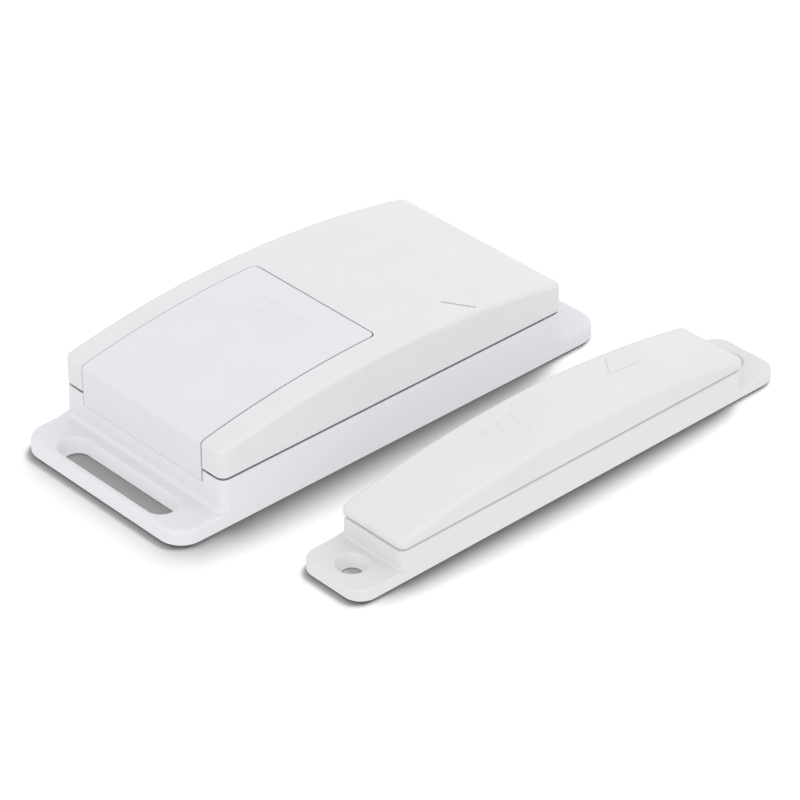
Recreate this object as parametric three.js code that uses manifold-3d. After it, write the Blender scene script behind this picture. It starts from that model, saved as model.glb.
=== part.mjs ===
// Door contact sensor: a battery transmitter for the frame and a magnet unit for the door.
// Millimetres. +X runs along both housings, +Y away from the magnet, +Z out of the wall.
// The origin is the centre of the transmitter's mounting face.
import * as THREE from "three";
import Module from "manifold-3d";
import { mergeVertices } from "three/addons/utils/BufferGeometryUtils.js";
import { ConvexGeometry } from "three/addons/geometries/ConvexGeometry.js";

const wasm = await Module();
wasm.setup();

// ---- driving dimensions -------------------------------------------------------------------
const GAP = 0.3; // clearance wherever two pieces meet
const ARC = 8; // segments in a quarter turn

// transmitter housing
const T_LENGTH = 94;
const T_WIDTH = 40.2;
const T_FLANGE = 9.5; // length of each mounting flange
const T_FLANGE_T = 2.7;
const T_FLANGE_R = 4.4;
const T_BODY = T_LENGTH - 2 * T_FLANGE;
const T_BODY_W = 39.6; // width at the seam, after the wall's draft
const T_BODY_R = 1.6;
const T_SEAM = 8.8;
const T_END_H = 14.0; // height of the arched top at each end
const T_PEAK_H = 17.9;
const T_EDGE_R = 0.9;
const T_WALL = 2.0;
const T_FLOOR = 1.8;
const SLOT_X = 42.8;
const SLOT_W = 5.4;
const SLOT_L = { front: 27.4, rear: 24.4 };

// battery lid
const LID_HALF_W = 14.7;
const LID_REAR = -0.6;
const LID_T = 1.8;
const LID_FOOT = 6.7; // lower edge of the lid's front flap
const LID_R = 1.0;
const RIDGE_X = [-12.0, -8.8, -5.6];
const RIDGE_R = 0.75;
const RIDGE_HALF = 6.4;

// battery, circuit board and switches
const CELL_R = 5.15;
const CELL_Z = 7.25;
const CELL_X = [-31.3, -4.3];
const BOARD_Z = [4.2, 5.8];
const BOARD_X = [-33.4, 35.0];
const BOARD_HALF_W = 16.5;
const BOARD_ARM = -8.0; // inner edge of the arm beside the battery
const MARK_X = 18.3; // the marks, the reed switch and the bar magnet share this station
const MARK_HALF = 3.4;
const MARK_T = 0.3;
const REED = { y: -13.6, z: 8.0, r: 1.3, half: 7.0 };
const TAMPER = { x: -8.0, y: -11.5 };
const COVER_SCREWS = [[-28.5, 11.2], [30.5, 0]];
const BOARD_SCREWS = [[-30.5, -13.0], [5.0, 13.0]];
const BOARD_POSTS = [[31.0, 13.0], [31.0, -13.0]];

// magnet unit
const M_POS = [11.6, -42.6];
const M_LENGTH = 94.9;
const M_WIDTH = 14.3;
const M_EAR = 8.9;
const M_EAR_T = 2.1;
const M_EAR_R = 3.3;
const M_BODY = M_LENGTH - 2 * M_EAR;
const M_BODY_R = 1.5;
const M_SEAM = 5.8;
const M_END_H = 7.7;
const M_PEAK_H = 11.7;
const M_EDGE_R = 1.2;
const M_WALL = 1.6;
const M_FLOOR = 1.6;
const M_HOLE_X = 42.5;
const M_HOLE_R = [1.6, 2.8]; // tapered screw hole, lower and upper radius
const MAGNET = { x0: 4.4, x1: 32.4, half: 3.0, z0: 1.9, z1: 6.9 };

// ---- materials ----------------------------------------------------------------------------
function material(color, roughness, metalness = 0) {
  return new THREE.MeshStandardMaterial({ color, roughness, metalness });
}
const PLASTIC = [0xe4e5ee, 0.5];
const STEEL = [0xc3c5c8, 0.35, 1];
const GOLD_STEEL = [0xd8c48a, 0.35, 1];

// ---- solids -------------------------------------------------------------------------------
// A closed solid from any three.js geometry, with shared corners and no empty triangles.
function solid(geometry) {
  const bare = new THREE.BufferGeometry();
  bare.setAttribute("position", geometry.getAttribute("position").clone());
  if (geometry.index) bare.setIndex(geometry.index.clone());
  const merged = mergeVertices(bare, 1e-4);
  const index = Array.from(merged.index.array);
  const kept = [];
  for (let i = 0; i < index.length; i += 3) {
    const [a, b, c] = index.slice(i, i + 3);
    if (a !== b && b !== c && c !== a) kept.push(a, b, c);
  }
  const vertProperties = new Float32Array(merged.getAttribute("position").array);
  const triVerts = new Uint32Array(kept);
  return new wasm.Manifold(new wasm.Mesh({ numProp: 3, vertProperties, triVerts }));
}

function box(x0, x1, y0, y1, z0, z1) {
  const g = new THREE.BoxGeometry(x1 - x0, y1 - y0, z1 - z0);
  g.translate((x0 + x1) / 2, (y0 + y1) / 2, (z0 + z1) / 2);
  return solid(g);
}

function roundRect(lx, ly, r) {
  const s = new THREE.Shape();
  const [x, y] = [lx / 2, ly / 2];
  s.moveTo(x, -y + r);
  s.lineTo(x, y - r);
  s.absarc(x - r, y - r, r, 0, Math.PI / 2, false);
  s.lineTo(-x + r, y);
  s.absarc(-x + r, y - r, r, Math.PI / 2, Math.PI, false);
  s.lineTo(-x, -y + r);
  s.absarc(-x + r, -y + r, r, Math.PI, 1.5 * Math.PI, false);
  s.lineTo(x - r, -y);
  s.absarc(x - r, -y + r, r, 1.5 * Math.PI, 2 * Math.PI, false);
  return s;
}

function prism(shape, z0, z1, x = 0, y = 0, segments = ARC) {
  const g = new THREE.ExtrudeGeometry(shape, {
    depth: z1 - z0,
    bevelEnabled: false,
    curveSegments: segments,
  });
  g.translate(x, y, z0);
  return solid(g);
}

function plate(lx, ly, r, z0, z1, x = 0, y = 0) {
  return prism(roundRect(lx, ly, r), z0, z1, x, y);
}

// A turned piece standing on +Z: profile is a list of [radius, z] that starts and ends on the axis.
function turned(profile, x = 0, y = 0, segments = 32) {
  const points = profile.map(([r, z]) => new THREE.Vector2(r, z));
  const g = new THREE.LatheGeometry(points, segments);
  g.rotateX(Math.PI / 2);
  g.translate(x, y, 0);
  return solid(g);
}

function rod(r, z0, z1, x = 0, y = 0, segments = 32) {
  return turned([[0, z0], [r, z0], [r, z1], [0, z1]], x, y, segments);
}

// A turned piece lying along +X.
function lying(profile, y, z, segments = 32) {
  const points = profile.map(([r, x]) => new THREE.Vector2(r, x));
  const g = new THREE.LatheGeometry(points, segments);
  g.rotateZ(-Math.PI / 2);
  g.translate(0, y, z);
  return solid(g);
}

// Height of an arched top: a shallow circular arc with its peak at x = 0.
function arch(top, x) {
  const sag = top.peak - top.end;
  const radius = (top.half ** 2 + sag ** 2) / (2 * sag);
  return top.peak - radius + Math.sqrt(radius ** 2 - x ** 2);
}
const T_TOP = { half: T_BODY / 2, peak: T_PEAK_H, end: T_END_H };
const M_TOP = { half: M_BODY / 2, peak: M_PEAK_H, end: M_END_H };

// The space between two depths below an arched top, or down to a level when zFloor is given.
function archSlab(top, x0, x1, y0, y1, d0, d1, zFloor = null) {
  const steps = Math.max(2, Math.round((x1 - x0) / 4));
  const xs = Array.from({ length: steps + 1 }, (_, i) => x0 + ((x1 - x0) * i) / steps);
  const upper = xs.map((x) => new THREE.Vector2(x, arch(top, x) - d0));
  const lower = xs.map((x) => new THREE.Vector2(x, zFloor ?? arch(top, x) - d1));
  const outline = zFloor === null ? lower : [lower[0], lower[steps]];
  const g = new THREE.ExtrudeGeometry(new THREE.Shape([...outline, ...upper.reverse()]), {
    depth: y1 - y0,
    bevelEnabled: false,
  });
  g.rotateX(Math.PI / 2);
  g.translate(0, y1, 0);
  return solid(g);
}

// Outline points of a rounded rectangle, with stations along its length for the arch.
function ring(lx, ly, r, stations) {
  const out = [];
  const centres = [[1, 1, 0], [-1, 1, 90], [-1, -1, 180], [1, -1, 270]];
  for (const [sx, sy, start] of centres) {
    for (let i = 0; i <= 4; i += 1) {
      const a = ((start + i * 22.5) * Math.PI) / 180;
      out.push([sx * (lx / 2 - r) + r * Math.cos(a), sy * (ly / 2 - r) + r * Math.sin(a)]);
    }
  }
  for (let i = 1; i < stations; i += 1) {
    const x = (lx / 2 - r) * (-1 + (2 * i) / stations);
    out.push([x, ly / 2], [x, -ly / 2]);
  }
  return out;
}

// The filled outside of a cover: straight sides, arched top and a rounded top edge.
function dome(top, ly, r, edge, z0) {
  const points = [];
  for (const [x, y] of ring(top.half * 2, ly, r, 2)) points.push(new THREE.Vector3(x, y, z0));
  for (const turn of [0, 30, 60, 90]) {
    const a = (turn * Math.PI) / 180;
    const inset = edge * (1 - Math.cos(a));
    const drop = edge * (1 - Math.sin(a));
    for (const [x, y] of ring(top.half * 2 - 2 * inset, ly - 2 * inset, r - inset, 18)) {
      points.push(new THREE.Vector3(x, y, arch(top, x) - drop));
    }
  }
  return solid(new ConvexGeometry(points));
}

// A housing wall that narrows slightly from its foot to the seam.
function drafted(lx, ly0, ly1, r, z0, z1) {
  const points = [];
  for (const [ly, z] of [[ly0, z0], [ly1, z1]]) {
    for (const [x, y] of ring(lx, ly, r, 1)) points.push(new THREE.Vector3(x, y, z));
  }
  return solid(new ConvexGeometry(points));
}

function union(...items) {
  return items.reduce((a, b) => a.add(b));
}

function cut(body, ...tools) {
  return tools.reduce((a, b) => a.subtract(b), body);
}

// Grip ridges: low half-round bars across the top.
function ridges(top, half) {
  const bars = RIDGE_X.map((x) => {
    const g = new THREE.CylinderGeometry(RIDGE_R, RIDGE_R, 2 * half, 16);
    g.translate(x, 0, arch(top, x) - 0.25);
    return solid(g);
  });
  return union(...bars);
}

// A raised triangle on the top, pointing along +Y or -Y.
function mark(top, yBase, yTip) {
  const corners = [[-MARK_HALF, yBase], [MARK_HALF, yBase], [0, yTip]];
  const plan = new THREE.Shape(corners.map(([x, y]) => new THREE.Vector2(MARK_X + x, y)));
  const skin = archSlab(top, MARK_X - 6, MARK_X + 6, -25, 25, -MARK_T, 0.5);
  return prism(plan, 5, 20).intersect(skin);
}

// Pan-head screw on a vertical axis, with the head at headZ and the shank running to tipZ.
function screw(x, y, head, headR, shankR, tipZ) {
  const [flat, crown] = head;
  const dir = Math.sign(crown - flat);
  const mid = crown - dir * 0.4;
  let profile = [[0, tipZ], [shankR * 0.6, tipZ], [shankR, tipZ - dir * -0.8], [shankR, flat]];
  profile.push([headR, flat], [headR, mid], [headR * 0.8, crown], [0, crown]);
  if (dir < 0) profile = profile.reverse();
  const body = turned(profile, x, y, 24);
  const deep = crown - dir * 0.7;
  const [lo, hi] = [Math.min(deep, crown + dir), Math.max(deep, crown + dir)];
  const arm = headR * 0.62;
  return cut(
    body,
    box(x - arm, x + arm, y - 0.3, y + 0.3, lo, hi),
    box(x - 0.3, x + 0.3, y - arm, y + arm, lo, hi),
  );
}

// ---- transmitter --------------------------------------------------------------------------
function transmitterBase() {
  let base = plate(T_LENGTH, T_WIDTH, T_FLANGE_R, 0, T_FLANGE_T);
  base = base.add(drafted(T_BODY, T_WIDTH, T_BODY_W, T_BODY_R, 0, T_SEAM - GAP / 2));
  const innerW = T_BODY_W - 2 * T_WALL - 0.4;
  base = cut(base, plate(T_BODY - 2 * T_WALL, innerW, 1, T_FLOOR, T_SEAM + 5));
  const top = T_SEAM - GAP / 2;
  const front = -T_BODY / 2;
  base = base.add(box(front + 1, front + 3.4, -16, 16, 1, top));
  base = cut(base, box(front - 1, front + 2.1, -LID_HALF_W - GAP, LID_HALF_W + GAP,
    LID_FOOT - GAP, 20));
  for (const side of [-1, 1]) {
    const lip = [16.6, 17.3].map((v) => v * side).sort((a, b) => a - b);
    const foot = [16.9, 18.2].map((v) => v * side).sort((a, b) => a - b);
    base = base.add(box(-32, 33, foot[0], foot[1], 6.6, top));
    base = base.add(box(-32, 33, lip[0], lip[1], 6.6, top + 1.4));
    const rib = [5.6, 6.8].map((v) => v * side).sort((a, b) => a - b);
    base = base.add(box(-31, -3, rib[0], rib[1], 1, 7.6));
  }
  base = base.add(box(-1.8, -0.6, -7.5, 7.5, 1, 8.5));
  for (const [x, y] of [...BOARD_SCREWS, ...BOARD_POSTS]) {
    base = base.add(rod(2.2, 1, BOARD_Z[0] - GAP, x, y));
  }
  for (const [x, y] of BOARD_SCREWS) base = cut(base, rod(1.3, 1.2, 10, x, y));
  for (const [x, y] of COVER_SCREWS) {
    base = base.add(rod(4.2, 1, 3.6, x, y));
    base = cut(base, rod(3.1, -1, 2.1, x, y), rod(1.6, 1, 10, x, y));
  }
  for (const [x, long] of [[-SLOT_X, SLOT_L.front], [SLOT_X, SLOT_L.rear]]) {
    base = cut(base, plate(SLOT_W, long, SLOT_W / 2 - 0.01, -1, 5, x, 0));
  }
  return base;
}

function lidRecess() {
  const w = LID_HALF_W + GAP;
  const r = LID_R + GAP;
  const plan = plate(60, 2 * w, r, 0, 30, LID_REAR + GAP - 30, 0);
  const upper = archSlab(T_TOP, -37.49, 2, -w - 1, w + 1, -3, LID_T + GAP);
  const front = box(-45, -T_BODY / 2 + 2.1, -w, w, 0, 30);
  return union(plan.intersect(upper), front);
}

function transmitterCover() {
  const foot = T_SEAM + GAP / 2;
  const inY = T_BODY_W / 2 - T_WALL;
  const inX = T_BODY / 2 - T_WALL;
  let cover = dome(T_TOP, T_BODY_W, T_BODY_R, T_EDGE_R, foot);
  cover = cut(cover, archSlab(T_TOP, -inX, inX, -inY, inY, T_WALL, 0, foot - 3));
  const tray = archSlab(T_TOP, -35.6, 1.3, -16.4, 16.4, 1.5, LID_T + GAP + 1.2);
  const wall = box(-35.6, -34.2, -16.4, 16.4, foot, 12.6);
  cover = union(cover, tray, wall);
  for (const [x, y] of COVER_SCREWS) {
    const depth = x < 0 ? LID_T + GAP + 0.6 : 1;
    cover = cover.add(cut(rod(2.8, 3.9, arch(T_TOP, x) - depth, x, y), rod(1.6, 3, 10.5, x, y)));
  }
  cover = cut(cover, lidRecess());
  cover = cut(cover, box(-33.9, -2, -6.2, 6.2, 8, 20).intersect(
    archSlab(T_TOP, -34.5, 0, -8, 8, 1.9, 6)));
  cover = cut(cover, archSlab(T_TOP, -3.6, 2, -5.4, 5.4, T_WALL, 5));
  cover = cut(cover, rod(1.9, 9, 20, TAMPER.x, TAMPER.y));
  return cover.add(mark(T_TOP, -13.9, -18.7));
}

function batteryLid() {
  const w = LID_HALF_W;
  const plan = plate(60, 2 * w, LID_R, 0, 30, LID_REAR - 30, 0);
  let lid = dome(T_TOP, T_BODY_W, T_BODY_R, T_EDGE_R, LID_FOOT).intersect(plan);
  lid = cut(lid, archSlab(T_TOP, -T_BODY / 2 + LID_T, 5, -30, 30, LID_T, 0, 1));
  lid = lid.add(archSlab(T_TOP, -3.2, -0.9, -5, 5, 1.2, 3.1));
  lid = lid.add(archSlab(T_TOP, -1.2, 1.5, -5, 5, 2.3, 3.1));
  return lid.add(ridges(T_TOP, RIDGE_HALF));
}

function batteryCell() {
  const [a, b] = CELL_X;
  const r = CELL_R;
  return lying([[0, a], [r - 0.4, a], [r, a + 0.4], [r, b - 0.4], [r - 0.4, b], [2, b],
    [2, b + 1.5], [0, b + 1.5]], 0, CELL_Z, 48);
}

function batterySpring() {
  const profile = [[0, -33.1], [3.9, -33.1], [4.0, -32.9], [3.4, -32.7], [3.6, -32.4], [3.0, -32.2],
    [3.2, -31.9], [2.7, -31.6], [0, -31.6]];
  return lying(profile, 0, CELL_Z, 40);
}

// Contact plate with a tab that crosses to the board arm; foot runs from x along dir.
function contactPlate(x, dir) {
  const [a, b] = [x, x + 0.4];
  const foot = dir > 0 ? [a, a + 2.2] : [b - 2.2, b];
  return union(
    box(a, b, -4.5, 4.5, 2.3, 11.4),
    box(a, b, -10, -4.4, 6.1, 7.4),
    box(foot[0], foot[1], -10, -8.6, 6.1, 6.5),
  );
}

function circuitBoard() {
  const [z0, z1] = BOARD_Z;
  let board = box(0.2, BOARD_X[1], -BOARD_HALF_W, BOARD_HALF_W, z0, z1);
  board = board.add(box(BOARD_X[0], 1, -BOARD_HALF_W, BOARD_ARM, z0, z1));
  for (const [x, y] of BOARD_SCREWS) board = cut(board, rod(1.3, 0, 10, x, y));
  return cut(board, rod(3.3, 0, 10, ...COVER_SCREWS[1]));
}

function reedGlass() {
  const { y, z, r, half } = REED;
  const [a, b] = [MARK_X - half, MARK_X + half];
  return lying([[0.7, a], [r - 0.2, a], [r, a + 0.5], [r, b - 0.5], [r - 0.2, b], [0.7, b],
    [0.7, a]], y, z, 24);
}

function reedBlade(dir) {
  const { y, z } = REED;
  const tip = MARK_X - dir * -1.2;
  const out = MARK_X - dir * 9.6;
  const lift = z + dir * 0.22;
  const [a, b] = [out, tip].sort((p, q) => p - q);
  return union(
    box(a, b, y - 0.4, y + 0.4, lift - 0.1, lift + 0.1),
    rod(0.4, BOARD_Z[1] + GAP, lift + 0.1, out, y, 16),
  );
}

function tamperBody() {
  const { x, y } = TAMPER;
  const body = box(x - 3, x + 3, y - 3, y + 3, BOARD_Z[1] + GAP, 9.7);
  return cut(body, rod(1.8, 7.1, 12, x, y));
}

function tamperPlunger() {
  const { x, y } = TAMPER;
  const end = arch(T_TOP, x + 1.5 > 0 ? 0 : x - 1.5) - LID_T - GAP;
  return turned([[0, 8.0], [1.45, 8.0], [1.45, end - 0.4], [1.1, end], [0, end]], x, y, 24);
}

function antennaCoil() {
  const profile = [[0, 11]];
  for (let i = 0; i < 9; i += 1) {
    const x = 11 + i * 1.9;
    profile.push([2.0, x], [2.5, x + 0.5], [2.5, x + 0.9], [2.0, x + 1.4]);
  }
  profile.push([0, 11 + 8 * 1.9 + 1.4]);
  return lying(profile, 12.4, 9.2, 24).add(rod(0.5, BOARD_Z[1] + GAP, 9.2, 27.0, 12.4, 12));
}

function crystal() {
  const z = BOARD_Z[1] + GAP;
  return plate(10.6, 4.4, 2.19, z, z + 3.4, 16, -5.4);
}

// ---- magnet unit --------------------------------------------------------------------------
function magnetBase() {
  const top = M_SEAM - GAP / 2;
  let base = plate(M_LENGTH, M_WIDTH, M_EAR_R, 0, M_EAR_T);
  base = base.add(drafted(M_BODY - 0.2, M_WIDTH, M_WIDTH - 0.4, M_BODY_R, 0, top));
  const inY = M_WIDTH / 2 - 0.2 - M_WALL;
  base = cut(base, plate(M_BODY - 2 * M_WALL, 2 * inY, 0.6, M_FLOOR, 20));
  for (const x of [MAGNET.x0 - GAP - 1.2, MAGNET.x1 + GAP]) {
    base = base.add(box(x, x + 1.2, -inY - 0.25, inY + 0.25, 1, 5.2));
  }
  for (const side of [-1, 1]) {
    const lip = [inY - 0.95, inY - 0.2].map((v) => v * side).sort((a, b) => a - b);
    const foot = [inY - 0.75, inY + 0.35].map((v) => v * side).sort((a, b) => a - b);
    base = base.add(box(-32, 0, lip[0], lip[1], 4, top + 1.1));
    base = base.add(box(-32, 0, foot[0], foot[1], 4, top));
  }
  for (const end of [-1, 1]) {
    const [r0, r1] = M_HOLE_R;
    const slope = (r1 - r0) / M_EAR_T;
    const hole = turned([[0, -1], [r0 - slope, -1], [r1 + slope, M_EAR_T + 1], [0, M_EAR_T + 1]],
      end * M_HOLE_X, 0, 40);
    base = cut(base, hole);
  }
  return base;
}

function magnetCover() {
  const foot = M_SEAM + GAP / 2;
  const inY = M_WIDTH / 2 - M_WALL;
  const inX = M_BODY / 2 - M_WALL;
  let cover = dome(M_TOP, M_WIDTH, M_BODY_R, M_EDGE_R, foot);
  cover = cut(cover, archSlab(M_TOP, -inX + 4, inX - 4, -inY, inY, M_WALL, 0, foot - 1));
  return union(cover, ridges(M_TOP, 2.9), mark(M_TOP, 1.1, 5.3));
}

// ---- assembly -----------------------------------------------------------------------------
const group = new THREE.Group();
group.name = "door_contact_sensor";

function put(name, body, look, offset = [0, 0]) {
  const mesh = body.getMesh();
  const g = new THREE.BufferGeometry();
  const xyz = new Float32Array((mesh.vertProperties.length / mesh.numProp) * 3);
  for (let i = 0; i < xyz.length / 3; i += 1) {
    for (let k = 0; k < 3; k += 1) xyz[3 * i + k] = mesh.vertProperties[i * mesh.numProp + k];
  }
  g.setAttribute("position", new THREE.BufferAttribute(xyz, 3));
  g.setIndex(Array.from(mesh.triVerts));
  g.translate(offset[0], offset[1], 0);
  g.computeVertexNormals();
  const part = new THREE.Mesh(g, material(...look));
  part.name = name;
  group.add(part);
}

const boardTop = BOARD_Z[1] + GAP;

put("transmitter_base", transmitterBase(), PLASTIC);
put("transmitter_cover", transmitterCover(), PLASTIC);
put("battery_lid", batteryLid(), PLASTIC);
put("battery_cell", batteryCell(), [0x8f9298, 0.4, 0.6]);
put("battery_spring", batterySpring(), STEEL);
put("negative_contact_plate", contactPlate(-33.8, 1), STEEL);
put("positive_contact_plate", contactPlate(-2.5, 1), STEEL);
put("circuit_board", circuitBoard(), [0x1f6b3a, 0.5]);
COVER_SCREWS.forEach(([x, y], i) => {
  put(`cover_screw_${i + 1}`, screw(x, y, [2.0, 0.3], 2.75, 1.3, 9.5), STEEL);
});
BOARD_SCREWS.forEach(([x, y], i) => {
  put(`board_screw_${i + 1}`, screw(x, y, [boardTop, 7.5], 2.2, 1.0, 1.9), STEEL);
});
put("reed_switch_glass", reedGlass(), [0xa8c4b4, 0.1]);
put("reed_blade_front", reedBlade(1), GOLD_STEEL);
put("reed_blade_rear", reedBlade(-1), GOLD_STEEL);
put("tamper_switch_body", tamperBody(), [0x26272b, 0.5]);
put("tamper_plunger", tamperPlunger(), [0xd9d9d2, 0.5]);
put("microcontroller_chip", box(4.5, 11.5, -1, 6, boardTop, boardTop + 1), [0x1b1c20, 0.6]);
put("radio_chip", box(17.5, 22.5, 0.5, 5.5, boardTop, boardTop + 1), [0x1b1c20, 0.6]);
put("crystal_can", crystal(), STEEL);
put("smoothing_capacitor", rod(2.5, boardTop, 12.6, 27.0, -7.4, 32), [0x27406e, 0.4]);
put("antenna_coil", antennaCoil(), [0xb8743a, 0.35, 1]);

put("magnet_base", magnetBase(), PLASTIC, M_POS);
put("magnet_cover", magnetCover(), PLASTIC, M_POS);
put("bar_magnet", box(MAGNET.x0, MAGNET.x1, -MAGNET.half, MAGNET.half, MAGNET.z0, MAGNET.z1),
  [0x3b3b3e, 0.5, 0.5], M_POS);
put("magnet_pad", box(8.4, 24.4, -2.6, 2.6, 7.2, 8.1), [0x4a4a4c, 0.9], M_POS);

export default group;
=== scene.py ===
"""Looks for the door contact sensor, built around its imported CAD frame.

Shapes are modelled in millimetres and scaled to metres when a piece is finished.
"""
import math

import bmesh
import bpy
from mathutils import Matrix, Vector


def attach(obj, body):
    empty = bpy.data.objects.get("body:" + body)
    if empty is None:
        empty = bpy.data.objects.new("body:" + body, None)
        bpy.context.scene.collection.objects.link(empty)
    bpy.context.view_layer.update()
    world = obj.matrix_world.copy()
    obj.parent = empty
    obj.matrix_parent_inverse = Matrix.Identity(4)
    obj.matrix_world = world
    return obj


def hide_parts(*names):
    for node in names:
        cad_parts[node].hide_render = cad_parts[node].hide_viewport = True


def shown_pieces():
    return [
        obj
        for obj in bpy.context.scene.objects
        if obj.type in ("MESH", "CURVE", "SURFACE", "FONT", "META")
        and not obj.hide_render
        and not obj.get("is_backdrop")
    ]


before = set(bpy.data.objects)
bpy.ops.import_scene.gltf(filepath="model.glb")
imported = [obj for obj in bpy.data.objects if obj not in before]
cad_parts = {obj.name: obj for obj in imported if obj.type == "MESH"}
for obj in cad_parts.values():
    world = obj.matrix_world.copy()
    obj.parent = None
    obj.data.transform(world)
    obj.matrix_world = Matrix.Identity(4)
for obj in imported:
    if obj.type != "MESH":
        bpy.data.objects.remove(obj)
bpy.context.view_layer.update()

MM = 0.001
AMBIENT = 0.95  # strength of the white surroundings
LIGHT_DISTANCE = 1.2  # metres
SIGNS = (-1, 1)

# ---- sizes in millimetres, as in the CAD part ---------------------------------------------
# T_ is the transmitter's housing and M_ the magnet unit's. HALF is half a length, with the
# flanges or ears, and BODY without them. _W is half a width, _R a corner's radius, _T a thickness.
GAP = 0.3  # between mouldings
T_HALF, T_HALF_W, T_FLANGE_R, T_FLANGE_T = 47.0, 20.1, 4.4, 2.7
T_BODY, T_BODY_W, T_BODY_R = 37.5, 19.8, 1.6
T_SEAM, T_EDGE = 8.8, 0.9
T_TOP = dict(half=37.5, peak=17.9, end=14.0)
T_WALL = 2.0
SLOT_R, SLOTS = 2.7, ((-42.8, 13.7), (42.8, 12.2))  # half width; (position, half length)
LID_HALF_W, LID_REAR, LID_T, LID_FOOT, LID_R = 14.7, -0.6, 1.8, 6.5, 1.0
LID_FAR = 0.17  # the lid fits closer on its far side
CLIP_HALF_W = 5.0  # of the tongue at the lid's rear edge
RIDGE_X, T_RIDGE, M_RIDGE = (-12.0, -8.8, -5.6), 6.4, 2.9
MARK_X, MARK_HALF = 18.3, 3.4
T_MARK, M_MARK = (-13.9, -18.7), (1.1, 5.3)  # Y of the mark's base and tip
M_POS = (11.6, -42.6)
M_HALF, M_HALF_W, M_EAR_R, M_EAR_T = 47.45, 7.15, 3.3, 2.1
M_BODY, M_BODY_R = 38.55, 1.25
M_SEAM, M_EDGE, M_WALL = 5.8, 1.1, 1.6
M_STEP = (0.1, 0.2)  # the base's wall stands back from the cover
M_TOP = dict(half=38.55, peak=11.7, end=7.7)
M_HOLE_X, M_HOLE_R = 42.5, (1.6, 2.7)  # radius below and above

COVER_SCREWS = ((-28.5, 11.2), (30.5, 0.0))
BOARD_SCREWS = ((-30.5, -13.0), (5.0, 13.0))
BOARD_POSTS = ((31.0, 13.0), (31.0, -13.0))
SCREW_HOLE, THREAD_HOLE = 1.6, 1.3
BOARD_TOP = 6.1
CELL_X, CELL_Z, CELL_R = (-31.3, -4.3), 7.25, 5.15
TAMPER = (-8.0, -11.5)
REED_Y, REED_OUT = -13.6, (8.7, 27.9)  # where the blades' leads reach the board
CAPACITOR = (27.0, -7.4)
PAD_X, PAD_Z = (8.4, 24.4), (7.2, 8.1)


# ---- mesh helpers -------------------------------------------------------------------------
def new_object(bm):
    mesh = bpy.data.meshes.new("shape")
    bm.to_mesh(mesh)
    bm.free()
    obj = bpy.data.objects.new("shape", mesh)
    bpy.context.scene.collection.objects.link(obj)
    return obj


def smoothstep(a, b, x):
    t = min(1.0, max(0.0, (x - a) / (b - a)))
    return t * t * (3 - 2 * t)


def spread(a, b, n):
    return [a + (b - a) * i / n for i in range(n + 1)]


def quarter(steps):
    """(sine, cosine) pairs from 0 to 90 degrees."""
    angles = [math.radians(a) for a in spread(0, 90, steps)]
    return [(math.sin(a), math.cos(a)) for a in angles]


def either_side(low, high):
    """The interval (low, high) and its mirror image."""
    return [sorted((low * side, high * side)) for side in SIGNS]


def arch(top, x):
    """Height of an arched top at x: part of a circle through its peak and both ends."""
    sag = top["peak"] - top["end"]
    radius = (top["half"] ** 2 + sag**2) / (2 * sag)
    return top["peak"] - radius + math.sqrt(radius**2 - x * x)


def arch_slope(top, x):
    return (arch(top, x + 0.01) - arch(top, x - 0.01)) / 0.02


def outline(hx, hy, r, stations=(), arc=8):
    """Rounded rectangle as (point, outward normal) pairs: the +Y half from +X to -X, then back.

    Its long sides have points at the stations, and its corners have arc steps.
    """
    half = []
    for i in range(arc + 1):
        a = math.pi / 2 * i / arc
        n = Vector((math.cos(a), math.sin(a)))
        half.append((Vector((hx - r, hy - r)) + n * r, n))
    half += [(Vector((x, hy)), Vector((0, 1))) for x in stations]
    for i in range(arc + 1):
        a = math.pi / 2 * (1 + i / arc)
        n = Vector((math.cos(a), math.sin(a)))
        half.append((Vector((-hx + r, hy - r)) + n * r, n))
    other = [(Vector((p.x, -p.y)), Vector((n.x, -n.y))) for p, n in reversed(half)]
    return half + other


def add_rings(bm, rings):
    """Side faces between rings of equal length; returns the rings' vertices."""
    made = [[bm.verts.new(p) for p in ring] for ring in rings]
    for low, high in zip(made, made[1:]):
        n = len(low)
        for i in range(n):
            j = (i + 1) % n
            bm.faces.new((low[i], low[j], high[j], high[i]))
    return made


def ladder(bm, ring):
    """Closes a mirrored ring with strips that run straight across from side to side."""
    n = len(ring)
    for i in range(n // 2 - 1):
        bm.faces.new((ring[i], ring[i + 1], ring[n - 2 - i], ring[n - 1 - i]))


def weld(bm, dist=1e-4):
    """Merges points closer than dist and removes the slivers."""
    bmesh.ops.remove_doubles(bm, verts=bm.verts, dist=dist)
    bmesh.ops.dissolve_degenerate(bm, edges=bm.edges, dist=dist)


def solid(bm):
    """Object from a closed mesh."""
    weld(bm)
    bmesh.ops.recalc_face_normals(bm, faces=bm.faces)
    return new_object(bm)


def loft(rings):
    """Solid through rings of points, flat at both ends."""
    bm = bmesh.new()
    made = add_rings(bm, rings)
    bm.faces.new(reversed(made[0]))
    bm.faces.new(made[-1])
    return solid(bm)


def prism(points, z0, z1):
    """Upright prism over a plan outline."""
    return loft([[(x, y, z) for x, y in points] for z in (z0, z1)])


def plate(x, y, lx, ly, r, z0, z1):
    """Rounded plate of size lx by ly centred on (x, y)."""
    pts = outline(lx / 2, ly / 2, r, arc=10)
    return prism([(p.x + x, p.y + y) for p, _ in pts], z0, z1)


def block(x0, x1, y0, y1, z0, z1):
    """Box between two limits on each axis."""
    return prism([(x0, y0), (x1, y0), (x1, y1), (x0, y1)], z0, z1)


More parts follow.
